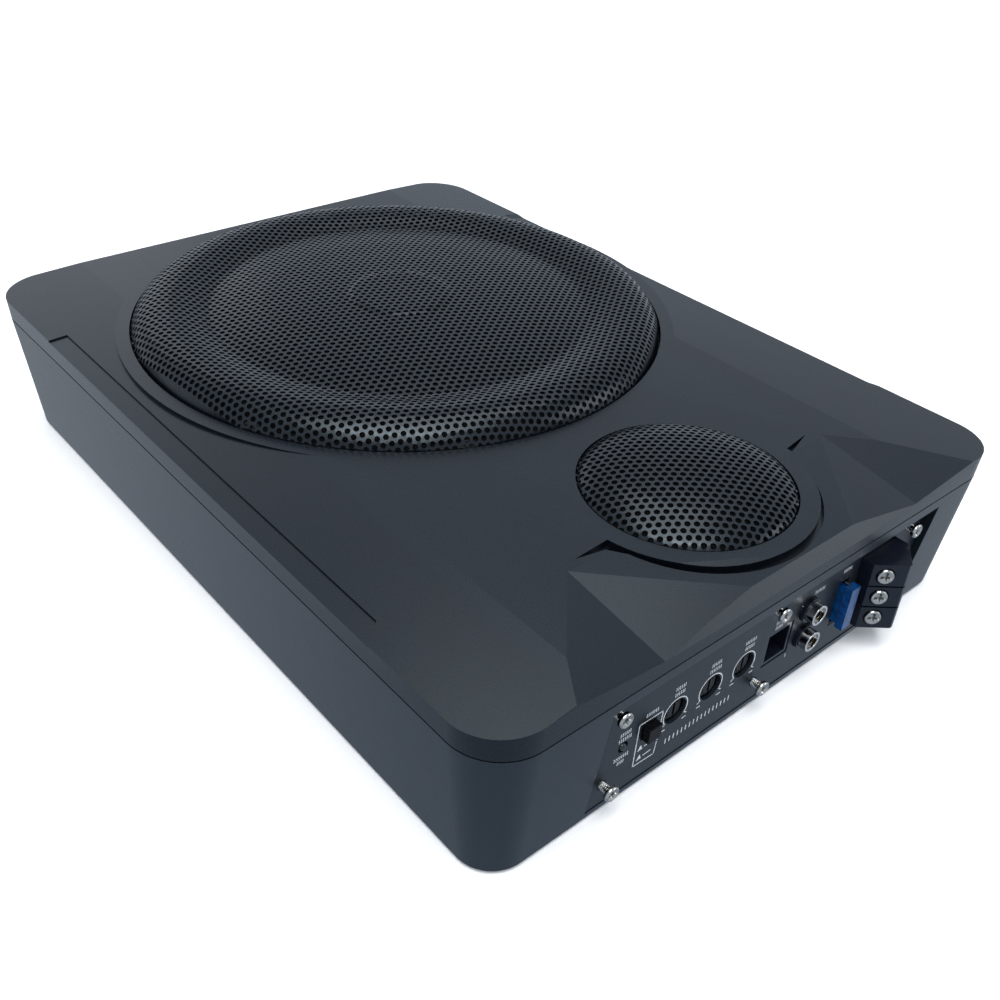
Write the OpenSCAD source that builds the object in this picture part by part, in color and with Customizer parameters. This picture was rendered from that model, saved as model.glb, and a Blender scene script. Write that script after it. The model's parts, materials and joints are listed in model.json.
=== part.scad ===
// Low-profile powered subwoofer for a car. Sizes in millimetres, +Z up.
// Origin: centre of the flat underside. The control panel faces -Y.

/* [Case] */
// Overall length along Y at the seam
length = 350; // [300:1:400]
// Overall width along X at the seam
width = 257; // [220:1:290]
// Height of the flat top plate
height = 67; // [60:1:80]
// Height of the seam between shell and cover
seam_z = 55.5; // [50:0.5:60]
// Inward lean of each wall from the seam down to the base
draft = 5.1; // [3:0.1:8]
// Plan radius of the corners at the seam
corner_r = 19; // [12:1:30]
// Wall thickness of shell and cover
wall = 3; // [2:0.1:4]
// Floor thickness of the shell
floor_t = 3; // [2:0.1:4]

/* [Large opening] */
// Centre of the woofer along X
woof_x = 5.2; // [0:0.1:10]
// Centre of the woofer along Y
woof_y = 48.5; // [40:0.5:60]
// Radius of the opening in the top plate
woof_r = 116; // [100:0.5:118]
// Outer radius of the collar ring around the opening
collar_r = 121.7; // [118:0.1:124]
// Height of the ledge that carries the woofer flange
ledge_z = 60.2; // [58:0.1:62]

/* [Small opening] */
// Centre of the passive radiator along X
rad_x = 7.1; // [0:0.1:10]
// Centre of the passive radiator along Y
rad_y = -120.8; // [-130:0.1:-110]
// Radius of the small opening
rad_r = 39.7; // [36:0.1:44]
// Outer radius of the small collar
rad_collar_r = 46.8; // [44:0.1:50]

/* [Motor] */
// Magnet radius
magnet_r = 45; // [40:1:50]
// Voice coil mean radius
coil_r = 25.5; // [20:0.5:32]

/* [Control panel] */
// Height of the row of controls
row_z = 25.5; // [22:0.1:28]
// Outer face of the panel along Y
panel_y = -170; // [-172:0.1:-168]
// Panel sheet thickness
panel_t = 1.4; // [1:0.1:2]
// First potentiometer along X
pot_x0 = -44.4; // [-50:0.1:-40]
// Spacing of the potentiometers
pot_step = 17.3; // [14:0.1:20]
// Potentiometer shaft radius
shaft_r = 3; // [2.5:0.1:3.5]
// Hole radius around each shaft
pot_hole_r = 5; // [4:0.1:6]
// RCA sleeve outer radius
rca_r = 4.15; // [4:0.01:4.3]
// RCA pair position along X
rca_x = 23.6; // [20:0.1:28]
// RCA spacing along Z
rca_step = 12.4; // [11:0.1:14]
// Fuse position along X
fuse_x = 44.3; // [44:0.1:50]
// Terminal block position of its left side along X
term_x = 53; // [50:0.1:58]
// Terminal pitch
term_pitch = 9.8; // [8:0.1:11]

/* [Hidden] */
e = 0.01;
seam_gap = 0.6;
cover_z = seam_z + seam_gap;
post_x = 112;
post_y = 158;
board_z = 14;
board_t = 1.6;
board_top = board_z + board_t;
panel_back = panel_y + panel_t;
pad_y = panel_back + 3;
term_mid = 27.2;
term_w = 21.4;
bracket_x = 90;
bracket_y = 130;
led_x = -68.6;
led_z = 25;

post_spots = [[-post_x, -post_y], [post_x, -post_y], [-post_x, post_y], [post_x, post_y],
  [-post_x, -75], [post_x, -75]];
board_spots = [[-82, -158], [94, -158], [-82, -86], [94, -86], [12, -86]];
panel_spots = [[-76.2, 12.6], [-1.6, 12.8], [80.5, 12.6], [-74.9, 44.8], [1.3, 45.2], [80, 44.9]];
pot_spots = [pot_x0, pot_x0 + pot_step, pot_x0 + 2 * pot_step];
rca_spots = [27.2 - rca_step / 2, 27.2 + rca_step / 2];
term_spots = [term_mid - term_pitch, term_mid, term_mid + term_pitch];

function lean(z) = draft * (seam_z - z) / seam_z;

// Rounded, drafted solid between two heights, set in from the outer wall.
module tub(z0, z1, inset, bevel) {
  hull()
    for (sx = [-1, 1], sy = [-1, 1])
      translate([sx * (width / 2 - corner_r), sy * (length / 2 - corner_r), 0]) {
        translate([0, 0, z0 + bevel])
          cylinder(h = z1 - z0 - bevel, r1 = corner_r - inset - lean(z0 + bevel),
            r2 = corner_r - inset - lean(z1), $fn = 64);
        translate([0, 0, z0])
          cylinder(h = z1 - z0 - 1, r = corner_r - inset - lean(z0) - bevel, $fn = 64);
      }
}

// Cylinder lying along +Y from a point.
module rod_y(x, y, z, r, h) {
  translate([x, y, z]) rotate([-90, 0, 0]) cylinder(h = h, r = r, $fn = 48);
}

module box(x0, x1, y0, y1, z0, z1) {
  translate([x0, y0, z0]) cube([x1 - x0, y1 - y0, z1 - z0]);
}

module ring(x, y, z0, z1, r_in, r_out) {
  translate([x, y, z0]) difference() {
    cylinder(h = z1 - z0, r = r_out, $fn = 96);
    translate([0, 0, -1]) cylinder(h = z1 - z0 + 2, r = r_in, $fn = 96);
  }
}

// Trapezoid of the control panel, grown outward by g.
module panel_outline(g) {
  polygon([[-82.6 - g, 4.2 - g], [89.8 + g, 4.2 - g], [91.8 + g, 50.4 + g], [-80.4 - g, 50.4 + g]]);
}

// Half space above a plane through point p with slopes gx and gy.
module above(p, gx, gy) {
  a = atan(sqrt(gx * gx + gy * gy));
  d = atan2(gy, gx);
  translate(p) rotate([0, 0, d]) rotate([0, -a, 0]) translate([-400, -400, 0]) cube([800, 800, 60]);
}

// ---------------------------------------------------------------- case

module lower_shell() {
  color([0.17, 0.18, 0.20]) difference() {
    union() {
      difference() {
        tub(0, seam_z, 0, 1.5);
        tub(floor_t, seam_z + 5, wall, 0.5);
      }
      intersection() {
        tub(0, seam_z, 0, 1.5);
        box(-87, 96, -180, pad_y, 1, 53);
      }
    }
    // recess for the panel, then the window behind it
    translate([0, panel_back, 0]) rotate([90, 0, 0]) linear_extrude(height = 12) panel_outline(0.35);
    box(-72, 49, panel_back - 1, pad_y + 4, 15.5, 38.8);
    box(48, 77, panel_back - 1, pad_y + 4, 10.8, 43.2);
    for (p = panel_spots) rod_y(p[0], panel_back - 1, p[1], 1.5, 6);
    for (p = post_spots) translate([p[0], p[1], -1]) {
      cylinder(h = 6, r = 2.3, $fn = 32);
      cylinder(h = 2.5, r1 = 5.1, r2 = 2.6, $fn = 32);
    }
    for (sx = [-1, 1], sy = [-1, 1])
      translate([sx * bracket_x, sy * bracket_y, -1]) cylinder(h = 6, r = 4.4, $fn = 32);
  }
}

module spacer_tubes() {
  color([0.62, 0.62, 0.60])
    for (p = post_spots) translate([p[0], p[1], floor_t]) difference() {
      cylinder(h = 49.9, r = 4.2, $fn = 32);
      translate([0, 0, -1]) cylinder(h = 52, r = 2.3, $fn = 32);
    }
}

module board_standoffs() {
  color([0.72, 0.71, 0.68])
    for (p = board_spots) translate([p[0], p[1], floor_t]) difference() {
      cylinder(h = board_z - floor_t, r = 3.6, $fn = 6);
      translate([0, 0, 3]) cylinder(h = 20, r = 1.3, $fn = 24);
    }
}

module facet_cuts() {
  // valley between two slopes, left of the small collar
  intersection() {
    above([-61, -131.5, height], -0.1256, 0.1195);
    above([-61, -131.5, height], 0.0679, 0.115);
  }
  // the same, mirrored, on the right
  intersection() {
    above([73.5, -130, height], 0.1018, 0.0956);
    above([73.5, -130, height], -0.0773, 0.1097);
  }
  // gentle slope in front of the small collar
  difference() {
    intersection() {
      above([rad_x, -131, height], 0, 0.0405);
      translate([0, 0, height - 10]) linear_extrude(height = 30)
        polygon([[-61, -131.5], [-18.5, -171.4], [-8, -181.2], [26, -181.2], [36, -171], [73.5, -130]]);
    }
    translate([rad_x, rad_y, 40]) cylinder(h = 60, r = rad_collar_r, $fn = 96);
  }
  // bevel along the front edge, running out at the feet of the two valleys
  intersection() {
    translate([0, -174.4, 62]) rotate([45, 0, 0]) translate([-80, -40, 0]) cube([170, 80, 40]);
    above([40, -174.4, 62], 0.048, 1);
    above([-40, -174.4, 62], -0.046, 1);
    box(-66, 76, -190, -150, 50, 90);
  }
}

module collar_groove() {
  // crescent round the front of the small collar, opening into a wedge at its left end
  difference() {
    union() {
      intersection() {
        translate([rad_x - 1.2, rad_y - 2.2, height - 3.4]) cylinder(h = 6, r = 47, $fn = 128);
        box(-60, 70, -180, -129, 50, 80);
      }
      translate([0, 0, height - 2.6]) linear_extrude(height = 6)
        polygon([[-55, -128.4], [-36, -127.2], [-36, -137], [-39.4, -136.4], [-43.6, -130.8]]);
    }
    translate([rad_x, rad_y, 50]) cylinder(h = 30, r = rad_collar_r, $fn = 128);
  }
  translate([0, 0, height - 2.2]) linear_extrude(height = 6)
    polygon([[69, -126.2], [54.8, -128.2], [54.5, -130.8]]);
}

module side_slopes() {
  difference() {
    for (s = [-1, 1]) {
      above([s * 88, 0, height], -s * 0.052, 0);
      intersection() {
        above([s * 121, 0, height - 2.35], -s * 0.052, 0);
        // the strip on the right runs out at both ends
        above([0, 106, height - (s > 0 ? 2.75 : 9)], 0, s > 0 ? 0.13 : 0);
        above([0, -114, height - (s > 0 ? 2.75 : 9)], 0, s > 0 ? -0.13 : 0);
        translate([0, 0, 50]) linear_extrude(height = 40)
          polygon([[s * 121, 112], [s * 121, -112.6], [s * 128, -120], [s * 140, -120], [s * 140, 112]]);
      }
    }
    translate([woof_x, woof_y, 40]) cylinder(h = 60, r = collar_r, $fn = 128);
  }
}

module top_cover() {
  color([0.13, 0.135, 0.145]) difference() {
    union() {
      difference() {
        hull()
          for (sx = [-1, 1], sy = [-1, 1])
            translate([sx * (width / 2 - corner_r), sy * (length / 2 - corner_r), cover_z]) {
              cylinder(h = height - cover_z - 1.1, r1 = corner_r, r2 = corner_r + 0.5, $fn = 64);
              cylinder(h = height - cover_z, r = corner_r - 0.6, $fn = 64);
            }
        hull()
          for (sx = [-1, 1], sy = [-1, 1])
            translate([sx * (width / 2 - corner_r), sy * (length / 2 - corner_r), cover_z - 1])
              cylinder(h = 59.6 - cover_z + 1, r = corner_r - wall, $fn = 64);
        box(-106, 106, -127, length / 2 - wall, 59, 63.8);
      }
      // tongue inside the shell
      difference() {
        hull()
          for (sx = [-1, 1], sy = [-1, 1])
            translate([sx * (width / 2 - corner_r), sy * (length / 2 - corner_r), 54.2])
              cylinder(h = 4, r = corner_r - wall - 0.35, $fn = 64);
        hull()
          for (sx = [-1, 1], sy = [-1, 1])
            translate([sx * (width / 2 - corner_r), sy * (length / 2 - corner_r), 53])
              cylinder(h = 7, r = corner_r - wall - 2.2, $fn = 64);
      }
      ring(woof_x, woof_y, 57.6, 64.5, 100, woof_r + 2.2);
      ring(rad_x, rad_y, 58, 64.5, 36.5, 50);
      for (p = post_spots)
        translate([p[0], p[1], 53]) cylinder(h = 9, r = 5, $fn = 32);
    }
    translate([woof_x, woof_y, ledge_z]) cylinder(h = 20, r = woof_r, $fn = 128);
    translate([woof_x, woof_y, 50]) cylinder(h = 20, r = 100, $fn = 128);
    translate([rad_x, rad_y, height - 4.2]) cylinder(h = 20, r = rad_r, $fn = 96);
    translate([rad_x, rad_y, 50]) cylinder(h = 20, r = 36.5, $fn = 96);
    for (p = post_spots)
      translate([p[0], p[1], 50]) cylinder(h = 11.5, r = 1.7, $fn = 24);
    for (i = [0 : 7])
      translate([woof_x + 108.5 * cos(i * 45 + 22.5), woof_y + 108.5 * sin(i * 45 + 22.5), 50])
        cylinder(h = 20, r = 1.6, $fn = 24);
    for (i = [0 : 3])
      translate([rad_x + 45 * cos(i * 90 + 45), rad_y + 45 * sin(i * 90 + 45), 50])
        cylinder(h = 13.5, r = 1.3, $fn = 24);
    facet_cuts();
    collar_groove();
    side_slopes();
  }
}

module cover_gasket() {
  color([0.05, 0.05, 0.05]) difference() {
    hull()
      for (sx = [-1, 1], sy = [-1, 1])
        translate([sx * (width / 2 - corner_r), sy * (length / 2 - corner_r), seam_z])
          cylinder(h = seam_gap, r = corner_r - 1.2, $fn = 64);
    hull()
      for (sx = [-1, 1], sy = [-1, 1])
        translate([sx * (width / 2 - corner_r), sy * (length / 2 - corner_r), seam_z - 1])
          cylinder(h = seam_gap + 2, r = corner_r - wall + 0.2, $fn = 64);
  }
}

module cover_screws() {
  color([0.16, 0.16, 0.17])
    for (p = post_spots) translate([p[0], p[1], 0]) difference() {
      union() {
        translate([0, 0, 0.2]) cylinder(h = 1.8, r1 = 3.8, r2 = 2, $fn = 32);
        translate([0, 0, 1.8]) cylinder(h = 57, r = 1.7, $fn = 24);
      }
      translate([-2.2, -0.5, -1]) cube([4.4, 1, 2.2]);
      translate([-0.5, -2.2, -1]) cube([1, 4.4, 2.2]);
    }
}

module bracket_inserts() {
  color([0.75, 0.60, 0.30])
    for (sx = [-1, 1], sy = [-1, 1])
      translate([sx * bracket_x, sy * bracket_y, 0.3]) difference() {
        union() {
          cylinder(h = 10, r = 4.3, $fn = 32);
          translate([0, 0, 2.75]) cylinder(h = 1.4, r = 6, $fn = 32);
        }
        translate([0, 0, -1]) cylinder(h = 9.5, r = 2.5, $fn = 32);
      }
}

// ------------------------------------------------------- control panel

module control_panel() {
  color([0.12, 0.125, 0.135]) difference() {
    translate([0, panel_back, 0]) rotate([90, 0, 0]) linear_extrude(height = panel_t) panel_outline(0);
    for (p = panel_spots) rod_y(p[0], panel_y - 1, p[1], 1.9, 4);
    for (x = pot_spots) rod_y(x, panel_y - 1, row_z, pot_hole_r, 4);
    rod_y(led_x, panel_y - 1, led_z, 2.2, 4);
    box(-60.4, -53.6, panel_y - 1, panel_back + 1, row_z - 3.4, row_z + 3.4);
    box(1.4, 16, panel_y - 1, panel_back + 1, 17.2, 32.4);
    for (z = rca_spots) rod_y(rca_x, panel_y - 1, z, 5.1, 4);
    box(fuse_x - 3.2, fuse_x + 3.2, panel_y - 1, panel_back + 1, 15.4, 36.2);
    box(term_x - 0.2, term_x + term_w + 0.2, panel_y - 1, panel_back + 1, 11.8, 42.4);
  }
}

module panel_screws() {
  color([0.75, 0.74, 0.70])
    for (p = panel_spots) difference() {
      union() {
        rod_y(p[0], panel_y - 5.2, p[1], 1.5, 9);
        rod_y(p[0], panel_y - 4.6, p[1], 2.9, 1.2);
        rod_y(p[0], panel_y - 5.2, p[1], 2.5, 0.8);
      }
      box(p[0] - 1.6, p[0] + 1.6, panel_y - 6, panel_y - 4.5, p[1] - 0.35, p[1] + 0.35);
      box(p[0] - 0.35, p[0] + 0.35, panel_y - 6, panel_y - 4.5, p[1] - 1.6, p[1] + 1.6);
    }
}

// -------------------------------------------------------------- grilles

module woofer_grille() {
  color([0.10, 0.10, 0.11]) translate([woof_x, woof_y, 0]) rotate_extrude($fn = 128)
    polygon([[0, 76.2], [21, 76.2], [22.4, 75.5], [60, 73.8], [81, 71.6], [84, 71.6], [92, 73.9],
      [99, 75.1], [105, 74.6], [109.5, 72.4], [112.6, 69], [114.4, 65.4], [115.4, 63.4], [115.4, 62.5],
      [112.6, 62.5], [112.6, 63.3], [113.5, 65.2], [111.8, 68.4], [108.8, 71.5], [104.6, 73.6],
      [99, 74.1], [92.4, 72.9], [84.2, 70.6], [80.8, 70.6], [60, 72.8], [22, 74.5], [20.6, 75.2], [0, 75.2]]);
}

module radiator_grille() {
  color([0.10, 0.10, 0.11]) translate([rad_x, rad_y, 0]) rotate_extrude($fn = 96)
    polygon([[0, 74.4], [8, 74.2], [16, 73.5], [24, 72.2], [30, 70.7], [34, 69.2], [36.6, 67.7], [38.3, 65.8],
      [39.1, 63.8], [39.3, 62.9], [37, 62.9], [37.2, 64.4], [35.9, 66.7], [33.6, 68.2], [29.7, 69.7],
      [23.8, 71.2], [15.9, 72.5], [7.9, 73.2], [0, 73.4]]);
}

// --------------------------------------------------------------- woofer

module woofer_frame() {
  color([0.20, 0.20, 0.21]) translate([woof_x, woof_y, 0]) difference() {
    union() {
      rotate_extrude($fn = 96)
        polygon([[96.5, ledge_z], [113.5, ledge_z], [113.5, 61.6], [95, 61.6], [95, 60.4],
          [93, 58.4], [93, 56.0], [95.8, 56.0], [96.5, 57.4]]);
      rotate_extrude($fn = 96)
        polygon([[60, 33.2], [68, 33.2], [68, 34.6], [60, 34.6]]);
      rotate_extrude($fn = 96)
        polygon([[27.5, 29], [42, 29], [42, 30.6], [27.5, 30.6]]);
      for (i = [0 : 5]) rotate([0, 0, i * 60 + 30]) {
        translate([0, 8, 0]) rotate([90, 0, 0]) linear_extrude(height = 16)
          polygon([[36, 29], [42, 29], [70, 33.2], [82, 38.4], [95.4, 50], [95.4, 57], [93.4, 57], [93.4, 50.8],
            [80.5, 39.8], [69.5, 34.5], [41, 30.5], [36, 30.5]]);
      }
    }
    for (i = [0 : 7]) rotate([0, 0, i * 45 + 22.5])
      translate([108.5, 0, 50]) cylinder(h = 20, r = 2.2, $fn = 24);
  }
}

module flange_gasket() {
  color([0.06, 0.06, 0.06]) translate([woof_x, woof_y, 0]) difference() {
    ring(0, 0, 61.6, 62.4, 103.5, 113.2);
    for (i = [0 : 7]) rotate([0, 0, i * 45 + 22.5])
      translate([108.5, 0, 50]) cylinder(h = 20, r = 4.4, $fn = 32);
  }
}

module woofer_screws() {
  color([0.20, 0.20, 0.21]) translate([woof_x, woof_y, 0])
    for (i = [0 : 7]) rotate([0, 0, i * 45 + 22.5]) translate([108.5, 0, 0]) difference() {
      union() {
        translate([0, 0, 61.6]) cylinder(h = 1.9, r = 3.6, $fn = 32);
        translate([0, 0, 55]) cylinder(h = 7, r = 1.6, $fn = 24);
      }
      translate([-2, -0.5, 62.5]) cube([4, 1, 3]);
      translate([-0.5, -2, 62.5]) cube([1, 4, 3]);
    }
}

module woofer_cone() {
  color([0.09, 0.09, 0.10]) translate([woof_x, woof_y, 0]) rotate_extrude($fn = 96)
    polygon([[26.2, 41], [27.4, 41], [30, 43.4], [60, 52.4], [84.6, 58.6], [90.4, 59.4], [90.4, 60.4],
      [84.2, 59.6], [59.6, 53.6], [29.4, 44.6], [26.2, 42.4]]);
}

module dust_cap() {
  color([0.07, 0.07, 0.08]) translate([woof_x, woof_y, 0]) rotate_extrude($fn = 96)
    polygon([[0, 57.4], [12, 56.4], [24, 53.2], [34, 47.6], [36.4, 46.75], [37.4, 47.05], [34.8, 48.3], [24.4, 54.2],
      [12.2, 57.5], [0, 58.5]]);
}

module coil_former() {
  color([0.72, 0.70, 0.62]) ring(woof_x, woof_y, 16, 42.6, coil_r + 0.1, coil_r + 0.5);
}

module voice_coil() {
  color([0.72, 0.42, 0.22]) ring(woof_x, woof_y, 20, 33, coil_r + 0.52, coil_r + 1.3);
}

module woofer_surround() {
  color([0.05, 0.05, 0.055]) translate([woof_x, woof_y, 0]) rotate_extrude($fn = 96)
    polygon([[86.8, 60.5], [90.4, 60.6], [91.6, 62.6], [94, 64.4], [96.6, 65], [99.4, 64.4], [101.6, 62.9],
      [102.2, 61.7], [103.2, 61.7], [103.2, 62.6], [102.4, 63.7], [99.8, 65.4], [96.6, 66],
      [93.6, 65.4], [90.9, 63.4], [89.8, 61.4], [86.8, 61.3]]);
}

module woofer_spider() {
  color([0.75, 0.60, 0.30]) translate([woof_x, woof_y, 0]) rotate_extrude($fn = 96)
    polygon([[26.05, 36.2], [30, 36.2], [33, 38.6], [36, 36.2], [39, 38.6], [42, 36.2], [45, 38.6], [48, 36.2],
      [51, 38.6], [54, 36.2], [57, 38.2], [60.5, 34.7], [67.5, 34.7], [67.5, 35.4], [61.5, 35.4], [57, 39.6],
      [54, 37.4], [51, 39.8], [48, 37.4], [45, 39.8], [42, 37.4], [39, 39.8], [36, 37.4], [33, 39.8],
      [30, 37.4], [26.05, 37.4]]);
}

module woofer_magnet() {
  color([0.10, 0.10, 0.11]) ring(woof_x, woof_y, 10, 24, 29, magnet_r);
}

module woofer_top_plate() {
  color([0.62, 0.60, 0.52]) ring(woof_x, woof_y, 24, 29, coil_r + 1.9, 43);
}

module woofer_yoke() {
  color([0.62, 0.60, 0.52]) translate([woof_x, woof_y, 0]) difference() {
    union() {
      translate([0, 0, 4.5]) cylinder(h = 5.5, r = 43.5, $fn = 96);
      translate([0, 0, 9.5]) cylinder(h = 20, r = coil_r - 0.5, $fn = 96);
    }
    translate([0, 0, 3]) cylinder(h = 40, r = 8, $fn = 48);
  }
}

module woofer_terminals() {
  color([0.80, 0.72, 0.40]) translate([woof_x, woof_y - 95.4, 0]) {
    box(-9, 9, -2, -0.05, 44, 55);
    for (s = [-6, 6]) box(s - 1.5, s + 1.5, -1.4, -0.8, 34, 44.1);
  }
}

module speaker_leads() {
  color([0.70, 0.10, 0.08])
    for (s = [-6, 6]) translate([woof_x + s, -78, board_top]) {
      cylinder(h = 20.4, r = 0.8, $fn = 24);
      translate([0, 0, 20.4]) sphere(r = 0.8, $fn = 24);
      translate([0, 0, 20.4]) rotate([-90, 0, 0]) cylinder(h = 29.6, r = 0.8, $fn = 24);
    }
}

// ----------------------------------------------------- passive radiator

module radiator_frame() {
  color([0.15, 0.15, 0.16]) translate([rad_x, rad_y, 0]) difference() {
    ring(0, 0, 56.2, 57.9, 34, 48.8);
    for (i = [0 : 3]) translate([45 * cos(i * 90 + 45), 45 * sin(i * 90 + 45), 50]) cylinder(h = 10, r = 1.6, $fn = 24);
  }
}

module radiator_surround() {
  color([0.05, 0.05, 0.055]) translate([rad_x, rad_y, 0]) rotate_extrude($fn = 96)
    polygon([[23.5, 58.1], [27, 58.1], [28, 60], [30.2, 61.2], [32.6, 60], [33.6, 58], [36.2, 58], [36.2, 58.8],
      [34.2, 58.8], [33.2, 60.7], [30.2, 62.1], [27.2, 60.7], [26.4, 58.9], [23.5, 58.9]]);
}

module radiator_cone() {
  color([0.14, 0.14, 0.15]) translate([rad_x, rad_y, 0]) rotate_extrude($fn = 96)
    polygon([[0, 55.6], [14, 55.6], [22, 57.2], [27, 57.2], [27, 58.05], [22, 58.05], [13.8, 56.6], [0, 56.6]]);
}

module radiator_weight() {
  color([0.62, 0.60, 0.55]) translate([rad_x, rad_y, 51.6]) difference() {
    cylinder(h = 4, r = 12, $fn = 64);
    translate([0, 0, -1]) cylinder(h = 3, r = 2.5, $fn = 32);
  }
}

module radiator_screws() {
  color([0.20, 0.20, 0.21]) translate([rad_x, rad_y, 0])
    for (i = [0 : 3]) translate([45 * cos(i * 90 + 45), 45 * sin(i * 90 + 45), 0]) {
      translate([0, 0, 54.4]) cylinder(h = 1.8, r = 3, $fn = 32);
      translate([0, 0, 56]) cylinder(h = 7, r = 1.3, $fn = 24);
    }
}

// ---------------------------------------------------------- electronics

module amp_board() {
  color([0.08, 0.28, 0.14]) difference() {
    box(-88, 100, -164.8, -77, board_z, board_top);
    for (p = board_spots) translate([p[0], p[1], 5]) cylinder(h = 20, r = 1.7, $fn = 24);
  }
}

module board_screws() {
  color([0.72, 0.71, 0.68])
    for (p = board_spots) translate([p[0], p[1], 0]) {
      translate([0, 0, board_top]) cylinder(h = 1.8, r = 3, $fn = 32);
      translate([0, 0, 7]) cylinder(h = 9, r = 1.3, $fn = 24);
    }
}

module heatsink_bar() {
  color([0.72, 0.73, 0.75]) {
    difference() {
      box(-72, 84, -97, -92, board_top, 38);
      for (i = [0 : 12]) box(-68 + i * 12, -64 + i * 12, -94.5, -91, 19, 39);
    }
  }
}

module power_transistors() {
  color([0.10, 0.10, 0.10])
    for (x = [-58, -34, 34, 58]) {
      box(x - 5, x + 5, -101.4, -97.05, 20, 29);
      box(x - 5, x + 5, -98.3, -97.05, 28.9, 35);
      for (k = [-2.54, 0, 2.54]) box(x + k - 0.4, x + k + 0.4, -99.6, -99.1, board_top, 20.1);
    }
}

module toroid_core() {
  color([0.35, 0.50, 0.30]) translate([-60, -124, board_top + 6]) difference() {
    cylinder(h = 9, r = 14, $fn = 64);
    translate([0, 0, -1]) cylinder(h = 11, r = 8.5, $fn = 64);
  }
}

module toroid_winding() {
  color([0.72, 0.42, 0.22]) translate([-60, -124, board_top]) difference() {
    union() {
      translate([0, 0, 4]) cylinder(h = 13, r = 16, $fn = 64);
      for (s = [-1, 1]) translate([s * 12, 0, 0]) cylinder(h = 5, r = 0.8, $fn = 20);
    }
    translate([0, 0, 3]) cylinder(h = 15, r = 6.5, $fn = 64);
    translate([0, 0, 5.95]) difference() {
      cylinder(h = 9.1, r = 14.05, $fn = 64);
      translate([0, 0, -1]) cylinder(h = 12, r = 8.45, $fn = 64);
    }
  }
}

module filter_capacitors() {
  color([0.10, 0.12, 0.22])
    for (p = [[76, -112], [76, -132], [-34, -112], [-34, -128]])
      translate([p[0], p[1], board_top]) {
        cylinder(h = 25, r = 6.2, $fn = 48);
        translate([0, 0, 24.9]) cylinder(h = 0.6, r = 5.4, $fn = 48);
      }
}

module control_chips() {
  color([0.06, 0.06, 0.06])
    for (x = [-14, 2, 50]) {
      box(x - 4.5, x + 4.5, -132, -125.5, board_top + 0.5, board_top + 3.8);
      for (k = [-3.2, -1.1, 1.1, 3.2], s = [-1, 1])
        box(x + k - 0.3, x + k + 0.3, -128.75 + s * 3.25 - 0.3 + s * 0.25, -128.75 + s * 3.25 + 0.3 + s * 0.25,
          board_top, board_top + 2);
    }
}

// ----------------------------------------------------------- connectors

module rca_housing() {
  color([0.05, 0.05, 0.05]) difference() {
    union() {
      box(rca_x - 6.2, rca_x + 6.2, panel_back + 0.1, -157, board_top, 38.5);
      for (z = rca_spots) rod_y(rca_x, panel_y - 1.6, z, 4.9, 4);
    }
    for (z = rca_spots) rod_y(rca_x, panel_y - 6, z, rca_r - 0.25, 9.5);
  }
}

module rca_shells() {
  color([0.80, 0.79, 0.75])
    for (z = rca_spots) difference() {
      union() {
        rod_y(rca_x, panel_y - 5, z, rca_r, 3.2);
        rod_y(rca_x, panel_y - 4, z, rca_r - 0.27, 7);
      }
      rod_y(rca_x, panel_y - 6, z, 3.15, 10);
    }
}

module rca_insulators() {
  color([0.90, 0.90, 0.88])
    for (z = rca_spots) difference() {
      rod_y(rca_x, panel_y - 2.6, z, 3.15, 5.5);
      rod_y(rca_x, panel_y - 5, z, 1.7, 9);
    }
}

module rca_contacts() {
  color([0.80, 0.72, 0.40])
    for (z = rca_spots) difference() {
      rod_y(rca_x, panel_y - 4.2, z, 1.7, 7);
      rod_y(rca_x, panel_y - 5, z, 1.4, 6.6);
    }
}

module level_socket() {
  color([0.05, 0.05, 0.055]) difference() {
    box(1.7, 15.7, panel_y + 0.3, -157, board_top, 32.1);
    box(3, 14.4, panel_y - 1, -160, 18.8, 30.8);
    box(0, 17, panel_y - 1, -164.9, board_top - 1, 17.5);
  }
}

module level_pins() {
  color([0.80, 0.79, 0.75])
    for (x = [6.2, 11.2], z = [22, 27.6]) box(x - 0.55, x + 0.55, -165.2, -160.05, z - 0.55, z + 0.55);
}

module fuse_holder() {
  color([0.04, 0.04, 0.045]) difference() {
    box(fuse_x - 3, fuse_x + 3, panel_y + 0.2, -154, board_top, 36);
    box(fuse_x - 2.65, fuse_x + 2.65, panel_y - 1, panel_y + 3.4, 16.35, 35.65);
    for (s = [-1, 1])
      box(fuse_x - 0.6, fuse_x + 0.6, panel_y, -157.4, 26 + s * 6.9 - 2.95, 26 + s * 6.9 + 2.95);
  }
}

module fuse_body() {
  color([0.05, 0.25, 0.85, 0.6]) difference() {
    union() {
      box(fuse_x - 2.5, fuse_x + 2.5, -175.4, -172.2, 16.5, 35.5);
      box(fuse_x - 1.7, fuse_x + 1.7, -172.3, -166.9, 17.6, 34.4);
    }
    box(fuse_x - 1.1, fuse_x + 1.1, -174.4, -166, 21.8, 30.2);
    for (s = [-1, 1])
      box(fuse_x - 0.35, fuse_x + 0.35, -172.6, -166, 26 + s * 6.9 - 2.6, 26 + s * 6.9 + 2.6);
  }
}

module fuse_blades() {
  color([0.80, 0.79, 0.75])
    for (s = [-1, 1])
      box(fuse_x - 0.33, fuse_x + 0.33, -172.5, -158, 26 + s * 6.9 - 2.55, 26 + s * 6.9 + 2.55);
}

// Frame of one terminal: x along the slanted face, y out of it.
module on_face(z) {
  translate([term_x + 4, panel_y - 8.5, z]) rotate([0, 0, -40.4]) rotate([90, 0, 0]) children();
}

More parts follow.
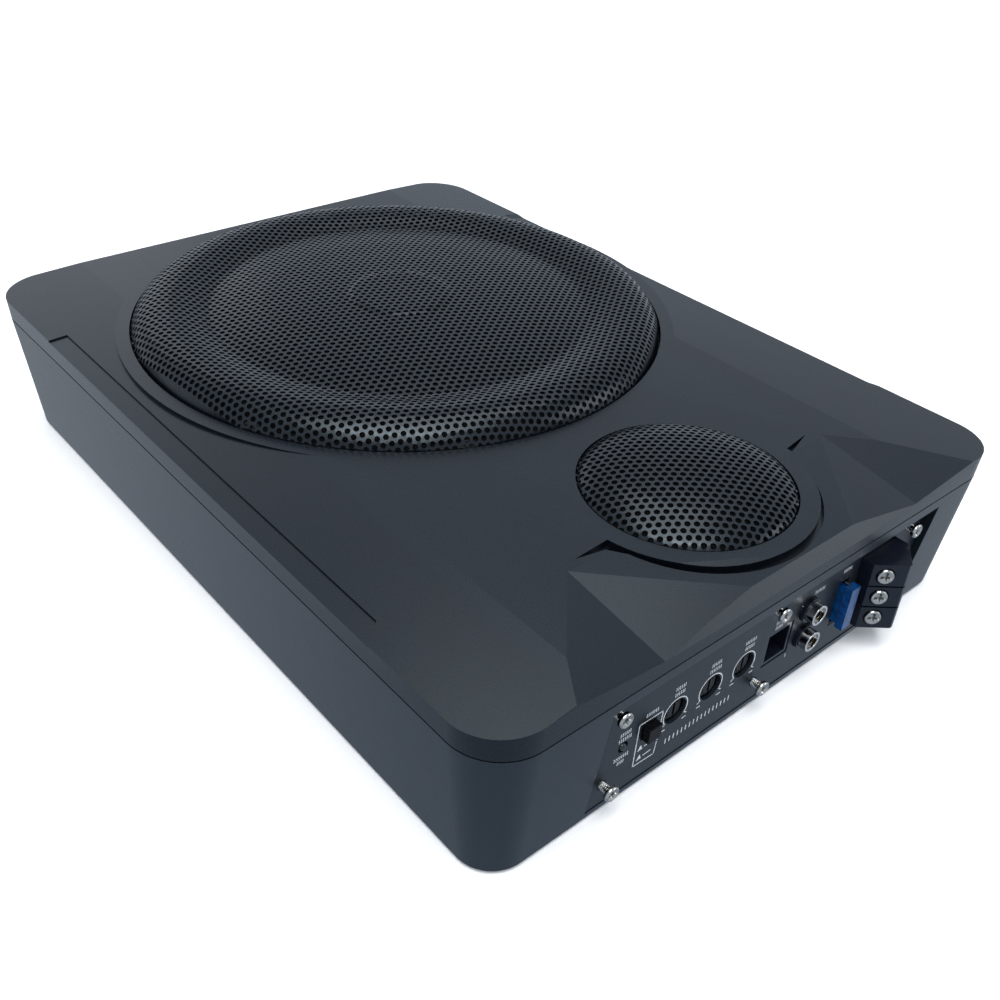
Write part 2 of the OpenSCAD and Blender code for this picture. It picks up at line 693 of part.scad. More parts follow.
module terminal_block() {
  color([0.05, 0.05, 0.055]) difference() {
    union() {
      translate([term_x, panel_y - 0.4, 12.1]) linear_extrude(height = 30)
        polygon([[0, 0.4], [0, -4.7], [10, -13.2], [11.4, -13.2], [21.4, -5.2], [21.4, 0.4]]);
      box(term_x + 0.4, term_x + 21, panel_y, -165.2, 12.5, 41.7);
      box(term_x + 0.4, term_x + 21, -165.3, -158, board_top, 41.7);
    }
    for (z = term_spots) {
      on_face(z) translate([0, 0, -1.2]) cylinder(h = 4, r = 3.6, $fn = 32);
      on_face(z) translate([0, 0, -8]) cylinder(h = 9, r = 1.75, $fn = 24);
      on_face(z) translate([1.6, -3.3, -4.6]) cube([14, 6.6, 2.6]);
    }
    for (z = [term_mid - term_pitch / 2, term_mid + term_pitch / 2])
      on_face(z) translate([-5.6, -0.35, -0.9]) cube([14.4, 0.7, 2]);
  }
}

module terminal_clamps() {
  color([0.78, 0.77, 0.73])
    for (z = term_spots) on_face(z) difference() {
      translate([1.8, -3, -4.4]) cube([5, 6, 1.2]);
      cylinder(h = 1, r = 1, $fn = 12);
    }
}

module terminal_screw(z) {
  color([0.80, 0.79, 0.75]) on_face(z) difference() {
    union() {
      translate([0, 0, -1]) cylinder(h = 1.5, r = 3.3, $fn = 32);
      translate([0, 0, 0.4]) cylinder(h = 0.7, r = 2.7, $fn = 32);
      translate([0, 0, -7]) cylinder(h = 6.5, r = 1.4, $fn = 24);
    }
    translate([-2.1, -0.4, 0.1]) cube([4.2, 0.8, 2]);
    translate([-0.4, -2.1, 0.1]) cube([0.8, 4.2, 2]);
  }
}

module power_screw() { terminal_screw(term_spots[2]); }

module remote_screw() { terminal_screw(term_spots[1]); }

module ground_screw() { terminal_screw(term_spots[0]); }

// ------------------------------------------------------------- controls

module pot_bodies() {
  color([0.10, 0.22, 0.16])
    for (x = pot_spots) difference() {
      union() {
        box(x - 6, x + 6, -164.5, -156, board_top, row_z + 6.2);
        rod_y(x, panel_back + 0.2, row_z, 4.4, 4.4);
      }
      rod_y(x, panel_y - 1, row_z, shaft_r + 0.06, 10);
    }
}

module pot_shaft(x) {
  color([0.55, 0.55, 0.55]) difference() {
    rod_y(x, panel_y + 0.9, row_z, shaft_r, 7.8);
    box(x - 0.5, x + 0.5, panel_y, panel_y + 2.1, row_z - 3.2, row_z + 3.2);
  }
}

module freq_shaft() { pot_shaft(pot_spots[0]); }

module boost_shaft() { pot_shaft(pot_spots[1]); }

module gain_shaft() { pot_shaft(pot_spots[2]); }

module phase_switch_body() {
  color([0.12, 0.12, 0.13]) difference() {
    box(-61, -53, -166.6, -156.5, board_top, row_z + 4);
    box(-59.6, -54.4, -168, -159, row_z - 2.6, row_z + 2.6);
  }
}

module phase_button() {
  color([0.03, 0.03, 0.03]) {
    box(-60, -54, panel_y - 3, -169.1, row_z - 3, row_z + 3);
    box(-59.3, -54.7, -169.2, -162.2, row_z - 2.3, row_z + 2.3);
  }
}

module status_led() {
  color([0.55, 0.60, 0.58]) {
    rod_y(led_x, panel_y + 0.6, led_z, 1.5, 4.4);
    rod_y(led_x, panel_y + 4.9, led_z, 1.9, 1);
    translate([led_x, panel_y + 0.6, led_z]) sphere(r = 1.5, $fn = 32);
    for (s = [-1, 1]) translate([led_x + s * 1.27, 0, 0]) {
      box(-0.25, 0.25, panel_y + 5.5, -160.7, led_z - 0.25, led_z + 0.25);
      box(-0.25, 0.25, -161.2, -160.7, board_top, led_z + 0.25);
    }
  }
}

lower_shell();
top_cover();
cover_gasket();
cover_screws();
spacer_tubes();
bracket_inserts();
control_panel();
panel_screws();
woofer_grille();
radiator_grille();
woofer_frame();
flange_gasket();
woofer_cone();
dust_cap();
voice_coil();
coil_former();
woofer_surround();
woofer_spider();
woofer_magnet();
woofer_top_plate();
woofer_yoke();
woofer_terminals();
woofer_screws();
speaker_leads();
radiator_frame();
radiator_surround();
radiator_cone();
radiator_weight();
radiator_screws();
amp_board();
board_standoffs();
board_screws();
heatsink_bar();
power_transistors();
toroid_core();
toroid_winding();
filter_capacitors();
control_chips();
rca_housing();
rca_shells();
rca_insulators();
rca_contacts();
level_socket();
level_pins();
fuse_holder();
fuse_body();
fuse_blades();
terminal_block();
terminal_clamps();
power_screw();
remote_screw();
ground_screw();
pot_bodies();
freq_shaft();
boost_shaft();
gain_shaft();
phase_switch_body();
phase_button();
status_led();
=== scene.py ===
"""Visual model of a flat powered car subwoofer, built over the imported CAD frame. Metres, +Z up."""

import json
import math

import bmesh
import bpy
from mathutils import Matrix, Vector
from mathutils.geometry import delaunay_2d_cdt


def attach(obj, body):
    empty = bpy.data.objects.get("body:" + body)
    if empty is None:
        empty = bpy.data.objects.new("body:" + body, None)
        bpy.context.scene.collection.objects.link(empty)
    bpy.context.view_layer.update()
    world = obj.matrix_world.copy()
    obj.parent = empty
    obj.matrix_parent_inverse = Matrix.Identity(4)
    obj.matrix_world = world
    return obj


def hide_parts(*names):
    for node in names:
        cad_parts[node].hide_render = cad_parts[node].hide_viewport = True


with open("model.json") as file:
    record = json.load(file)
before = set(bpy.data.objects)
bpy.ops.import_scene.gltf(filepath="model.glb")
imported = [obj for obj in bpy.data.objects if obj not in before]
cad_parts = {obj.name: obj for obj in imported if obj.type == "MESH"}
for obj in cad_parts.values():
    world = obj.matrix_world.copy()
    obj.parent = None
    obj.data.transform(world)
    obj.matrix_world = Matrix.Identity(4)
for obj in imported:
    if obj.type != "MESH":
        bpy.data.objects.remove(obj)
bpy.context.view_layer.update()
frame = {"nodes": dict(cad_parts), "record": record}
NODES = frame["nodes"]
MM = 0.001

# ---------------------------------------------------------------- sizes, mm
WOOFER = (5.2, 48.5)
RADIATOR = (7.1, -120.8)
PANEL_Y = -170.0
ROW_Z = 25.5
POTS_X = (-44.4, -27.1, -9.8)
PANEL_SPOTS = ((-76.2, 12.6), (-1.6, 12.8), (80.5, 12.6), (-74.9, 44.8), (1.3, 45.2), (80, 44.9))
# Outer skin of each mesh dome, from the centre to the rim: (radius, height).
BIG_DOME = ((0, 76.2), (18, 76.2), (21, 76.1), (23, 75.5), (40, 74.9), (60, 73.8), (72, 72.7), (80, 71.7),
            (83, 71.5), (87, 72.4), (93, 74.1), (99, 75.1), (104, 75.1), (108.6, 74.1), (112, 71.9),
            (114.2, 69.3), (115.3, 66.8), (115.7, 64.4), (115.7, 62.9))
SMALL_DOME = ((0, 74.4), (8, 74.2), (16, 73.6), (24, 72.6), (30, 71.3), (35, 69.7), (37.8, 68.2),
              (39.1, 66.8), (39.5, 65.1), (39.5, 62.95))
# Folded border under each rim, as a closed outline of (radius, height).
BIG_HEM = ((113.6, 63.4), (115.7, 63.4), (115.7, 62.5), (113.6, 62.5))
SMALL_HEM = ((37.6, 63.6), (39.5, 63.6), (39.5, 62.9), (37.6, 62.9))
BIG_PITCH, BIG_TURN, BIG_REACH = 3.28, 35.4, 120.2
SMALL_PITCH, SMALL_TURN, SMALL_REACH = 3.2, 20.0, 42.9
HOLE_R = 1.13
HOLE_TAPER = 1.04
SHEET_T = 0.7
TOP_SIDES, LOW_SIDES, RIM_STEPS = 12, 6, 240
SCALE_R = 5.75
SCALE_ENDS = (-35, 215)
TERMINAL_X, TERMINAL_Y = 57.0, -178.5
TERMINAL_OUT = math.radians(-40.4)
PRINT_PROUD, PRINT_SUNK = 0.04, 0.02


# ---------------------------------------------------------------- materials
def material(name, base, rough, metal=0.0, mottle=0.25, mottle_mm=14.0, grain=0.04, grain_mm=0.35,
             rough_spread=0.06, edge_wear_and_sheen=0.0, edge_wear_and_sheen_colour=None, coat=0.0, specular=0.5, tint=(1, 1, 1),
             transmission=0.0, ior=1.46):
    """Principled surface with mottled colour, grain in bump and roughness, and lighter edges: wear and
    painted highlight.
    """
    mat = bpy.data.materials.new(name)
    mat.use_nodes = True
    nodes, links = mat.node_tree.nodes, mat.node_tree.links
    bsdf = nodes["Principled BSDF"]
    bsdf.inputs["Metallic"].default_value = metal
    bsdf.inputs["Specular IOR Level"].default_value = specular
    bsdf.inputs["Specular Tint"].default_value = (*tint, 1.0)
    bsdf.inputs["Coat Weight"].default_value = coat
    bsdf.inputs["Transmission Weight"].default_value = transmission
    bsdf.inputs["IOR"].default_value = ior
    place = nodes.new("ShaderNodeTexCoord")

    def noise(size_mm, detail=3.0):
        tex = nodes.new("ShaderNodeTexNoise")
        tex.inputs["Scale"].default_value = 1.0 / (size_mm * MM)
        tex.inputs["Detail"].default_value = detail
        links.new(place.outputs["Object"], tex.inputs["Vector"])
        return tex.outputs["Fac"]

    def spread(fac, low, high):
        node = nodes.new("ShaderNodeMapRange")
        node.inputs["From Min"].default_value = 0.3
        node.inputs["From Max"].default_value = 0.7
        node.inputs["To Min"].default_value = low
        node.inputs["To Max"].default_value = high
        links.new(fac, node.inputs["Value"])
        return node.outputs["Result"]

    def mix(fac, a, b):
        node = nodes.new("ShaderNodeMix")
        node.data_type = "RGBA"
        links.new(fac, node.inputs["Factor"])
        for socket, value in ((node.inputs["A"], a), (node.inputs["B"], b)):
            if isinstance(value, bpy.types.NodeSocket):
                links.new(value, socket)
            else:
                socket.default_value = (*value, 1.0)
        return node.outputs["Result"]

    cloud, fine = noise(mottle_mm), noise(grain_mm, 2.0)
    darker, lighter = [c * (1 - mottle) for c in base], [c * (1 + mottle) for c in base]
    colour = mix(spread(cloud, 0.0, 1.0), darker, lighter)
    # Lighter colour on sharp edges, by pointiness: partly wear, partly a painted highlight along the edges.
    if edge_wear_and_sheen:
        edge = nodes.new("ShaderNodeMapRange")
        edge.inputs["From Min"].default_value = 0.52
        edge.inputs["From Max"].default_value = 0.62
        edge.inputs["To Max"].default_value = edge_wear_and_sheen
        links.new(nodes.new("ShaderNodeNewGeometry").outputs["Pointiness"], edge.inputs["Value"])
        colour = mix(edge.outputs["Result"], colour, edge_wear_and_sheen_colour or [min(1, c * 2.5) for c in base])
    links.new(colour, bsdf.inputs["Base Color"])
    links.new(spread(fine, rough - rough_spread, rough + rough_spread), bsdf.inputs["Roughness"])
    bump = nodes.new("ShaderNodeBump")
    bump.inputs["Strength"].default_value = grain
    bump.inputs["Distance"].default_value = 0.0002
    links.new(fine, bump.inputs["Height"])
    links.new(bump.outputs["Normal"], bsdf.inputs["Normal"])
    return mat


BLUISH = (0.80, 0.93, 1.0)
SHELL = material("shell_satin", (0.005, 0.008, 0.012), 0.34, mottle=0.07, grain=0.10, edge_wear_and_sheen=0.25,
                 specular=0.50, tint=BLUISH)
COVER = material("cover_grain", (0.0020, 0.0030, 0.0050), 0.28, mottle=0.08, grain=0.02, grain_mm=0.4,
                 rough_spread=0.03, edge_wear_and_sheen=0.2, specular=0.40, tint=BLUISH)
PANEL = material("panel_paint", (0.005, 0.007, 0.010), 0.40, mottle=0.08, grain=0.08, edge_wear_and_sheen=0.2,
                 specular=0.45, tint=BLUISH)
MESH = material("mesh_paint", (0.0016, 0.0024, 0.0038), 0.26, mottle=0.10, grain=0.05, grain_mm=0.8,
                edge_wear_and_sheen=0.1, specular=0.48, tint=(0.78, 0.91, 1.0))
RUBBER = material("rubber", (0.003, 0.003, 0.0035), 0.72, specular=0.08, mottle=0.2, grain=0.25,
                  grain_mm=0.6)
CONE = material("cone_paper", (0.003, 0.003, 0.0035), 0.75, specular=0.08, mottle=0.3, mottle_mm=4,
                grain=0.5, grain_mm=0.9)
CLOTH = material("spider_cloth", (0.42, 0.27, 0.09), 0.85, mottle=0.25, mottle_mm=3, grain=0.7, grain_mm=0.8)
COPPER = material("copper_wire", (0.62, 0.26, 0.10), 0.30, metal=1.0, mottle=0.2, mottle_mm=3, grain=0.3)
FORMER = material("former_tan", (0.50, 0.42, 0.28), 0.45, metal=0.3, mottle=0.15, grain=0.2)
FERRITE = material("ferrite", (0.04, 0.04, 0.045), 0.62, mottle=0.35, mottle_mm=5, grain=0.5, grain_mm=1.2)
ZINC = material("zinc_plate", (0.52, 0.50, 0.42), 0.32, metal=1.0, mottle=0.15, mottle_mm=9, grain=0.15)
NICKEL = material("nickel", (0.42, 0.415, 0.40), 0.14, metal=1.0, mottle=0.12, mottle_mm=1.5, grain=0.06,
                  grain_mm=0.6)
BLACK_STEEL = material("black_oxide", (0.02, 0.02, 0.021), 0.45, metal=0.5, mottle=0.3, mottle_mm=2,
                       grain=0.2, edge_wear_and_sheen=0.4)
# Brass far darker than its own colour: painted shade, so the RCA contacts deep in their sockets look dark.
SHADED_BRASS = material("brass", (0.09, 0.07, 0.04), 0.28, metal=1.0, mottle=0.15, mottle_mm=2, grain=0.1)
BOARD = material("solder_mask", (0.02, 0.12, 0.05), 0.35, mottle=0.25, mottle_mm=5, grain=0.2,
                 grain_mm=0.7, coat=0.3)
ALU = material("extruded_alu", (0.62, 0.63, 0.65), 0.35, metal=1.0, mottle=0.1, mottle_mm=6, grain=0.25,
               grain_mm=0.5)
INNER = material("moulded_black", (0.012, 0.012, 0.014), 0.45, mottle=0.25, mottle_mm=3, grain=0.1,
                 edge_wear_and_sheen=0.3)
GLOSS = material("gloss_black", (0.004, 0.005, 0.009), 0.26, mottle=0.2, mottle_mm=3, grain=0.004,
                 grain_mm=2.5, rough_spread=0.012, specular=0.38, edge_wear_and_sheen=0.35, tint=(0.72, 0.86, 1.0))
IVORY = material("ivory", (0.72, 0.70, 0.64), 0.35, mottle=0.08, mottle_mm=2, grain=0.05)
BLUE = material("blue_fuse", (0.0005, 0.032, 0.14), 0.14, mottle=0.55, mottle_mm=2.2, grain=0.02,
                grain_mm=2.5, rough_spread=0.015, edge_wear_and_sheen=0.12, edge_wear_and_sheen_colour=(0.01, 0.15, 0.35),
                transmission=0.2, ior=1.5)
SHAFT = material("shaft_grey", (0.004, 0.004, 0.005), 0.40, mottle=0.2, mottle_mm=1.5, grain=0.03,
                 edge_wear_and_sheen=0.2, specular=0.25)
LENS = material("lamp_lens", (0.012, 0.02, 0.02), 0.22, mottle=0.1, mottle_mm=1, grain=0.02,
                transmission=0.2)
WIRE = material("wire_red", (0.42, 0.025, 0.02), 0.42, mottle=0.15, mottle_mm=2, grain=0.1)
PRINT = material("white_print", (0.46, 0.47, 0.49), 0.55, mottle=0.12, mottle_mm=0.8, grain=0.3,
                 grain_mm=0.3)
FLOOR = material("floor", (0.93, 0.93, 0.93), 0.75, mottle=0.01, mottle_mm=300, grain=0.05, grain_mm=2)

FINISH = {
    "shell_metal": SHELL, "cover_plastic": COVER, "panel_metal": PANEL, "grille_steel": MESH,
    "rubber_black": RUBBER, "cone_black": CONE, "spider_cloth": CLOTH, "copper_wire": COPPER,
    "former_tan": FORMER, "ferrite": FERRITE, "zinc_steel": ZINC, "nickel": NICKEL,
    "black_steel": BLACK_STEEL, "brass": SHADED_BRASS, "board_green": BOARD, "heatsink_alu": ALU,
    "inner_black": INNER, "black_plastic": GLOSS, "ivory_plastic": IVORY, "fuse_blue": BLUE,
    "shaft_grey": SHAFT, "led_lens": LENS, "wire_red": WIRE,
}
CHROME = material("chrome", (0.62, 0.62, 0.61), 0.10, metal=1.0, mottle=0.08, mottle_mm=1.5, grain=0.03,
                  grain_mm=0.8)
BUTTON = material("button_black", (0.002, 0.0022, 0.003), 0.40, mottle=0.2, mottle_mm=2, grain=0.02,
                  grain_mm=1.0, specular=0.15)
# Two nodes look different from the rest of their material slot.
OWN = {"phase_button": BUTTON, "rca_shells": CHROME}
SLOT = {part["node"]: part["material_slot"] for part in frame["record"]["subparts"]}
BODY = {n: body for body, members in frame["record"]["behaviour"]["bodies"].items() for n in members}


# ------------------------------------------------------------------ helpers
def add_object(name, mesh, mat, body):
    """An object in the scene that rides on a body and carries the given material."""
    obj = bpy.data.objects.new(name, mesh)
    bpy.context.scene.collection.objects.link(obj)
    mesh.materials.clear()
    mesh.materials.append(mat)
    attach(obj, body)
    return obj


def soften(node, width_mm, crisp):
    """A copy of a CAD node with clean faces and rounded edges, standing for the node.

    A crisp node keeps a hard crease between any two upward facets."""
    angle = math.radians(28)
    mesh = NODES[node].data.copy()
    if "custom_normal" in mesh.attributes:
        mesh.attributes.remove(mesh.attributes["custom_normal"])
    bm = bmesh.new()
    bm.from_mesh(mesh)
    bmesh.ops.remove_doubles(bm, verts=bm.verts, dist=2e-6)
    bmesh.ops.dissolve_limit(bm, angle_limit=math.radians(0.6), verts=bm.verts, edges=bm.edges)
    for face in bm.faces:
        face.smooth = True
    bm.to_mesh(mesh)
    bm.free()
    mesh.name = node + "_soft"
    mesh.set_sharp_from_angle(angle=angle)
    if crisp:
        bm = bmesh.new()
        bm.from_mesh(mesh)
        for edge in bm.edges:
            upward = len(edge.link_faces) == 2 and min(f.normal.z for f in edge.link_faces) > 0.9
            if upward and edge.calc_face_angle() > math.radians(0.8):
                edge.smooth = False
        bm.to_mesh(mesh)
        bm.free()
    mat = OWN.get(node, FINISH[SLOT[node]])
    obj = add_object(node + "_finished", mesh, mat, BODY[node])
    bevel = obj.modifiers.new("edges", "BEVEL")
    bevel.width = width_mm * MM
    bevel.segments = 2
    bevel.limit_method = "ANGLE"
    bevel.angle_limit = angle
    bevel.harden_normals = True
    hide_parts(node)


def solid(name, verts, faces, mat, body, smooth=False):
    """An object from points in mm, with all faces turned outwards."""
    mesh = bpy.data.meshes.new(name)
    mesh.from_pydata([tuple(c * MM for c in v) for v in verts], [], faces)
    mesh.validate()
    if smooth:
        mesh.shade_smooth()
    bm = bmesh.new()
    bm.from_mesh(mesh)
    bmesh.ops.recalc_face_normals(bm, faces=bm.faces)
    bm.to_mesh(mesh)
    bm.free()
    return add_object(name, mesh, mat, body)


# -------------------------------------------------------- perforated domes
def dome(name, node, centre, profile, pitch, turn, reach, hem):
    """A steel sheet with round holes on a hexagonal lattice, a plain border and a hem, pressed into a dome.

    A hole is a polygon of TOP_SIDES corners in the outer skin and LOW_SIDES in the inner one."""
    arc = [0.0]
    for (r0, z0), (r1, z1) in zip(profile, profile[1:]):
        arc.append(arc[-1] + math.hypot(r1 - r0, z1 - z0))

    def skin(u, v, depth):
        """The point at flat place (u, v) of the sheet, depth below its outer skin."""
        s = min(math.hypot(u, v), arc[-1])
        i = max(k for k in range(len(arc) - 1) if arc[k] <= s or k == 0)
        f = (s - arc[i]) / (arc[i + 1] - arc[i])
        (r0, z0), (r1, z1) = profile[i], profile[i + 1]
        dr, dz = (r1 - r0) / (arc[i + 1] - arc[i]), (z1 - z0) / (arc[i + 1] - arc[i])
        k = (r0 + f * (r1 - r0) + dz * depth) / s if s > 1e-6 else 1.0
        return centre[0] + u * k, centre[1] + v * k, z0 + f * (z1 - z0) - dr * depth

    steps = [(math.cos(math.radians(turn + 60 * k)) * pitch, math.sin(math.radians(turn + 60 * k)) * pitch)
             for k in range(2)]
    span = int(arc[-1] / pitch) + 3
    holes = {}
    for i in range(-span, span + 1):
        for j in range(-span, span + 1):
            u = i * steps[0][0] + j * steps[1][0]
            v = i * steps[0][1] + j * steps[1][1]
            if math.hypot(u, v) < reach:
                holes[i, j] = (u, v)
    flat, verts, faces, top, low = [], [], [], {}, {}

    def place(u, v, depth):
        flat.append(Vector((u, v)))
        verts.append(skin(u, v, depth))

    for key, (u, v) in holes.items():
        top[key] = len(verts)
        for k in range(TOP_SIDES):
            a = math.radians(turn + 15 + 30 * k)
            place(u + HOLE_R * math.cos(a), v + HOLE_R * math.sin(a), 0.0)
        low[key] = len(verts)
        for k in range(LOW_SIDES):
            a = math.radians(turn + 30 + 60 * k)
            place(u + HOLE_R * HOLE_TAPER * math.cos(a), v + HOLE_R * HOLE_TAPER * math.sin(a), SHEET_T)
    around = ((1, 0), (0, 1), (-1, 1), (-1, 0), (0, -1), (1, -1))
    sheets = ([], [])
    for (i, j) in holes:
        t, b = top[i, j], low[i, j]
        for k in range(6):
            # wall: two outer edges of the round hole meet one edge of the hexagon below
            p, q, r = t + (2 * k) % 12, t + (2 * k + 1) % 12, t + (2 * k + 11) % 12
            faces += [(b + k, q, p), (b + k, p, b + (k + 5) % 6), (b + (k + 5) % 6, p, r)]
        for k in range(3):
            other = (i + around[k][0], j + around[k][1])
            if other in holes:
                o, ob = top[other], low[other]
                sheets[0].append((t + (2 * k + 11) % 12, o + (2 * k + 6) % 12,
                                  o + (2 * k + 5) % 12, t + 2 * k))
                sheets[1].append((b + k, ob + (k + 2) % 6, ob + (k + 3) % 6, b + (k + 5) % 6))
        for k in (0, 1):
            n1 = (i + around[k][0], j + around[k][1])
            n2 = (i + around[k + 1][0], j + around[k + 1][1])
            if n1 in holes and n2 in holes:
                o1, o2 = top[n1], top[n2]
                sheets[0].append((t + 2 * k, o1 + (2 * k + 5) % 12, o1 + (2 * k + 4) % 12,
                                  o2 + (2 * k + 9) % 12, o2 + (2 * k + 8) % 12, t + 2 * k + 1))
                sheets[1].append((b + k, low[n2] + (k + 4) % 6, low[n1] + (k + 2) % 6))
    skins = ((sheets[0], top, TOP_SIDES, 0.0), (sheets[1], low, LOW_SIDES, SHEET_T))
    for sheet, starts, sides, depth in skins:
        uses = {}
        for face in sheet:
            for n in range(len(face)):
                edge = frozenset((face[n - 1], face[n]))
                uses[edge] = uses.get(edge, 0) + 1
        rims = {frozenset((s + k, s + (k + 1) % sides)) for s in starts.values() for k in range(sides)}
        edge_loop = [tuple(e) for e in rims if e not in uses]
        edge_loop += [tuple(e) for e, n in uses.items() if n == 1 and e not in rims]
        edge_loop.sort()
        circle = len(verts)
        for k in range(RIM_STEPS):
            a = 2 * math.pi * k / RIM_STEPS
            place(arc[-1] * math.cos(a), arc[-1] * math.sin(a), depth)
        used = sorted({n for edge in edge_loop for n in edge}) + list(range(circle, circle + RIM_STEPS))
        index = {n: k for k, n in enumerate(used)}
        lines = [(index[a], index[b]) for a, b in edge_loop]
        lines += [(index[circle + k], index[circle + (k + 1) % RIM_STEPS]) for k in range(RIM_STEPS)]
        _, _, cells, origins, *_ = delaunay_2d_cdt([flat[n] for n in used], lines, [], 0, 1e-7)
        ends = [(flat[a], flat[b]) for a, b in edge_loop]
        for cell in cells:
            ids = [used[origins[n][0]] for n in cell]
            mid = sum((flat[n] for n in ids), Vector((0, 0))) / len(ids)
            crossings = sum((a.y > mid.y) != (b.y > mid.y)
                            and mid.x < a.x + (b.x - a.x) * (mid.y - a.y) / (b.y - a.y) for a, b in ends)
            if crossings % 2 == 0:
                sheet.append(tuple(ids))
        faces += sheet
    base, m = len(verts), len(hem)
    for k in range(RIM_STEPS):
        a = 2 * math.pi * k / RIM_STEPS
        verts += [(centre[0] + r * math.cos(a), centre[1] + r * math.sin(a), z) for r, z in hem]
    for k in range(RIM_STEPS):
        here, there = base + k * m, base + (k + 1) % RIM_STEPS * m
        for n in range(m):
            faces.append((here + n, here + (n + 1) % m, there + (n + 1) % m, there + n))
    obj = solid(name, verts, faces, MESH, BODY[node], smooth=True)
    obj.data.set_sharp_from_angle(angle=math.radians(50))
    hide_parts(node)


dome("woofer_mesh", "woofer_grille", WOOFER, BIG_DOME, BIG_PITCH, BIG_TURN, BIG_REACH, BIG_HEM)
dome("radiator_mesh", "radiator_grille", RADIATOR, SMALL_DOME, SMALL_PITCH, SMALL_TURN, SMALL_REACH,
     SMALL_HEM)

# ------------------------------------------------------------- finished CAD
# Width of the rounded edges of each node that can be seen, in mm.
ROUNDED = {
    "lower_shell": 0.35, "top_cover": 0.35, "control_panel": 0.12, "terminal_block": 0.25,
    "rca_housing": 0.15, "fuse_holder": 0.15, "fuse_body": 0.35, "level_socket": 0.15, "phase_button": 0.3,
    "rca_shells": 0.12, "freq_shaft": 0.15, "boost_shaft": 0.15, "gain_shaft": 0.15,
    "cover_screws": 0.12, "pot_bodies": 0.15,
}
for node, width in ROUNDED.items():
    soften(node, width, crisp=node == "top_cover")


def screws(node, places, out, rings, cross, dish, fine=32):
    """Turned screws with a domed head and a cross recess.

    rings are (radius, height along out) from the rim of the recess to the point; cross is the
    (half width, half length, depth) of the recess; dish is how far the middle of the head rises."""
    verts, faces = [], []
    side = Vector((0, 0, 1)).cross(out).normalized()
    rise = out.cross(side)
    w, l, deep = cross
    outline = [(l, -w), (l, w), (w, w), (w, l), (-w, l), (-w, w), (-l, w), (-l, -w), (-w, -w), (-w, -l),
               (w, -l), (w, -w)]
    wheel = [(math.cos(2 * math.pi * k / fine), math.sin(2 * math.pi * k / fine)) for k in range(fine)]
    rim, top = rings[0]
    flat = [Vector(p) for p in outline] + [Vector(p) * rim for p in wheel]
    lines = [(k, (k + 1) % 12) for k in range(12)] + [(12 + k, 12 + (k + 1) % fine) for k in range(fine)]
    _, _, cells, origins, *_ = delaunay_2d_cdt(flat, lines, [], 0, 1e-6)
    cap = []
    for cell in cells:
        ids = [origins[n][0] for n in cell]
        mid = sum((flat[n] for n in ids), Vector((0, 0))) / 3
        if not (abs(mid.x) < w and abs(mid.y) < l or abs(mid.y) < w and abs(mid.x) < l):
            cap.append(ids)
    for place in places:
        first = len(verts)

        def put(a, b, h):
            verts.append(tuple(Vector(place) + side * a + rise * b + out * h))

        for a, b in outline:
            put(a, b, top + dish * (1 - (a * a + b * b) / rim ** 2))
        for r, h in rings:
            for a, b in wheel:
                put(r * a, r * b, h)
        foot = len(verts)
        for a, b in outline:
            put(a * 0.45, b * 0.45, top - deep)
        faces += [tuple(first + n for n in ids) for ids in cap]
        for k in range(12):
            faces.append((first + k, first + (k + 1) % 12, foot + (k + 1) % 12, foot + k))
        faces.append(tuple(foot + k for k in range(12)))
        for n in range(len(rings) - 1):
            low = first + 12 + n * fine
            faces += [(low + k, low + (k + 1) % fine, low + fine + (k + 1) % fine, low + fine + k)
                      for k in range(fine)]
        faces.append(tuple(first + 12 + (len(rings) - 1) * fine + k for k in range(fine)))
    obj = solid(node + "_turned", verts, faces, FINISH[SLOT[node]], BODY[node], smooth=True)
    obj.data.set_sharp_from_angle(angle=math.radians(38))
    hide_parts(node)


def threads(start, end, core, crest, pitch):
    """Profile of a threaded shank as (radius, height) rings from start down to end."""
    points = []
    for k in range(int((start - end) / pitch)):
        points += [(core, start - (k + 0.1) * pitch), (crest, start - (k + 0.55) * pitch),
                   (core, start - (k + 0.98) * pitch)]
    return points


PANEL_RINGS = [(2.05, 5.02), (2.25, 5.16), (2.5, 5.14), (2.74, 4.92), (2.9, 4.5), (2.94, 4.0), (2.86, 3.5),
               (2.7, 3.4), (1.5, 3.4)] + threads(3.3, -3.7, 1.22, 1.5, 0.7) + [(0.9, -3.8)]
TERMINAL_RINGS = [(2.55, 0.96), (2.8, 0.92), (3.05, 0.68), (3.22, 0.3), (3.3, -0.1), (3.3, -0.9), (3.1, -1.0),
                  (1.4, -1.0)] + threads(-1.1, -6.8, 1.15, 1.4, 0.7) + [(0.9, -7.0)]
screws("panel_screws", [(x, PANEL_Y, z) for x, z in PANEL_SPOTS], Vector((0, -1, 0)), PANEL_RINGS,
       cross=(0.55, 1.85, 1.5), dish=-0.5)
outward = Vector((math.sin(TERMINAL_OUT), -math.cos(TERMINAL_OUT), 0))
for node, z in (("power_screw", 37.0), ("remote_screw", 27.2), ("ground_screw", 17.4)):
    screws(node, [(TERMINAL_X, TERMINAL_Y, z)], outward, TERMINAL_RINGS, cross=(0.55, 2.35, 1.3), dish=-0.3)

# The inner parts show the CAD mesh itself, with the material of their slot.
for node, obj in NODES.items():
    if not obj.hide_render:
        obj.data.materials.clear()
        obj.data.materials.append(FINISH[SLOT[node]])


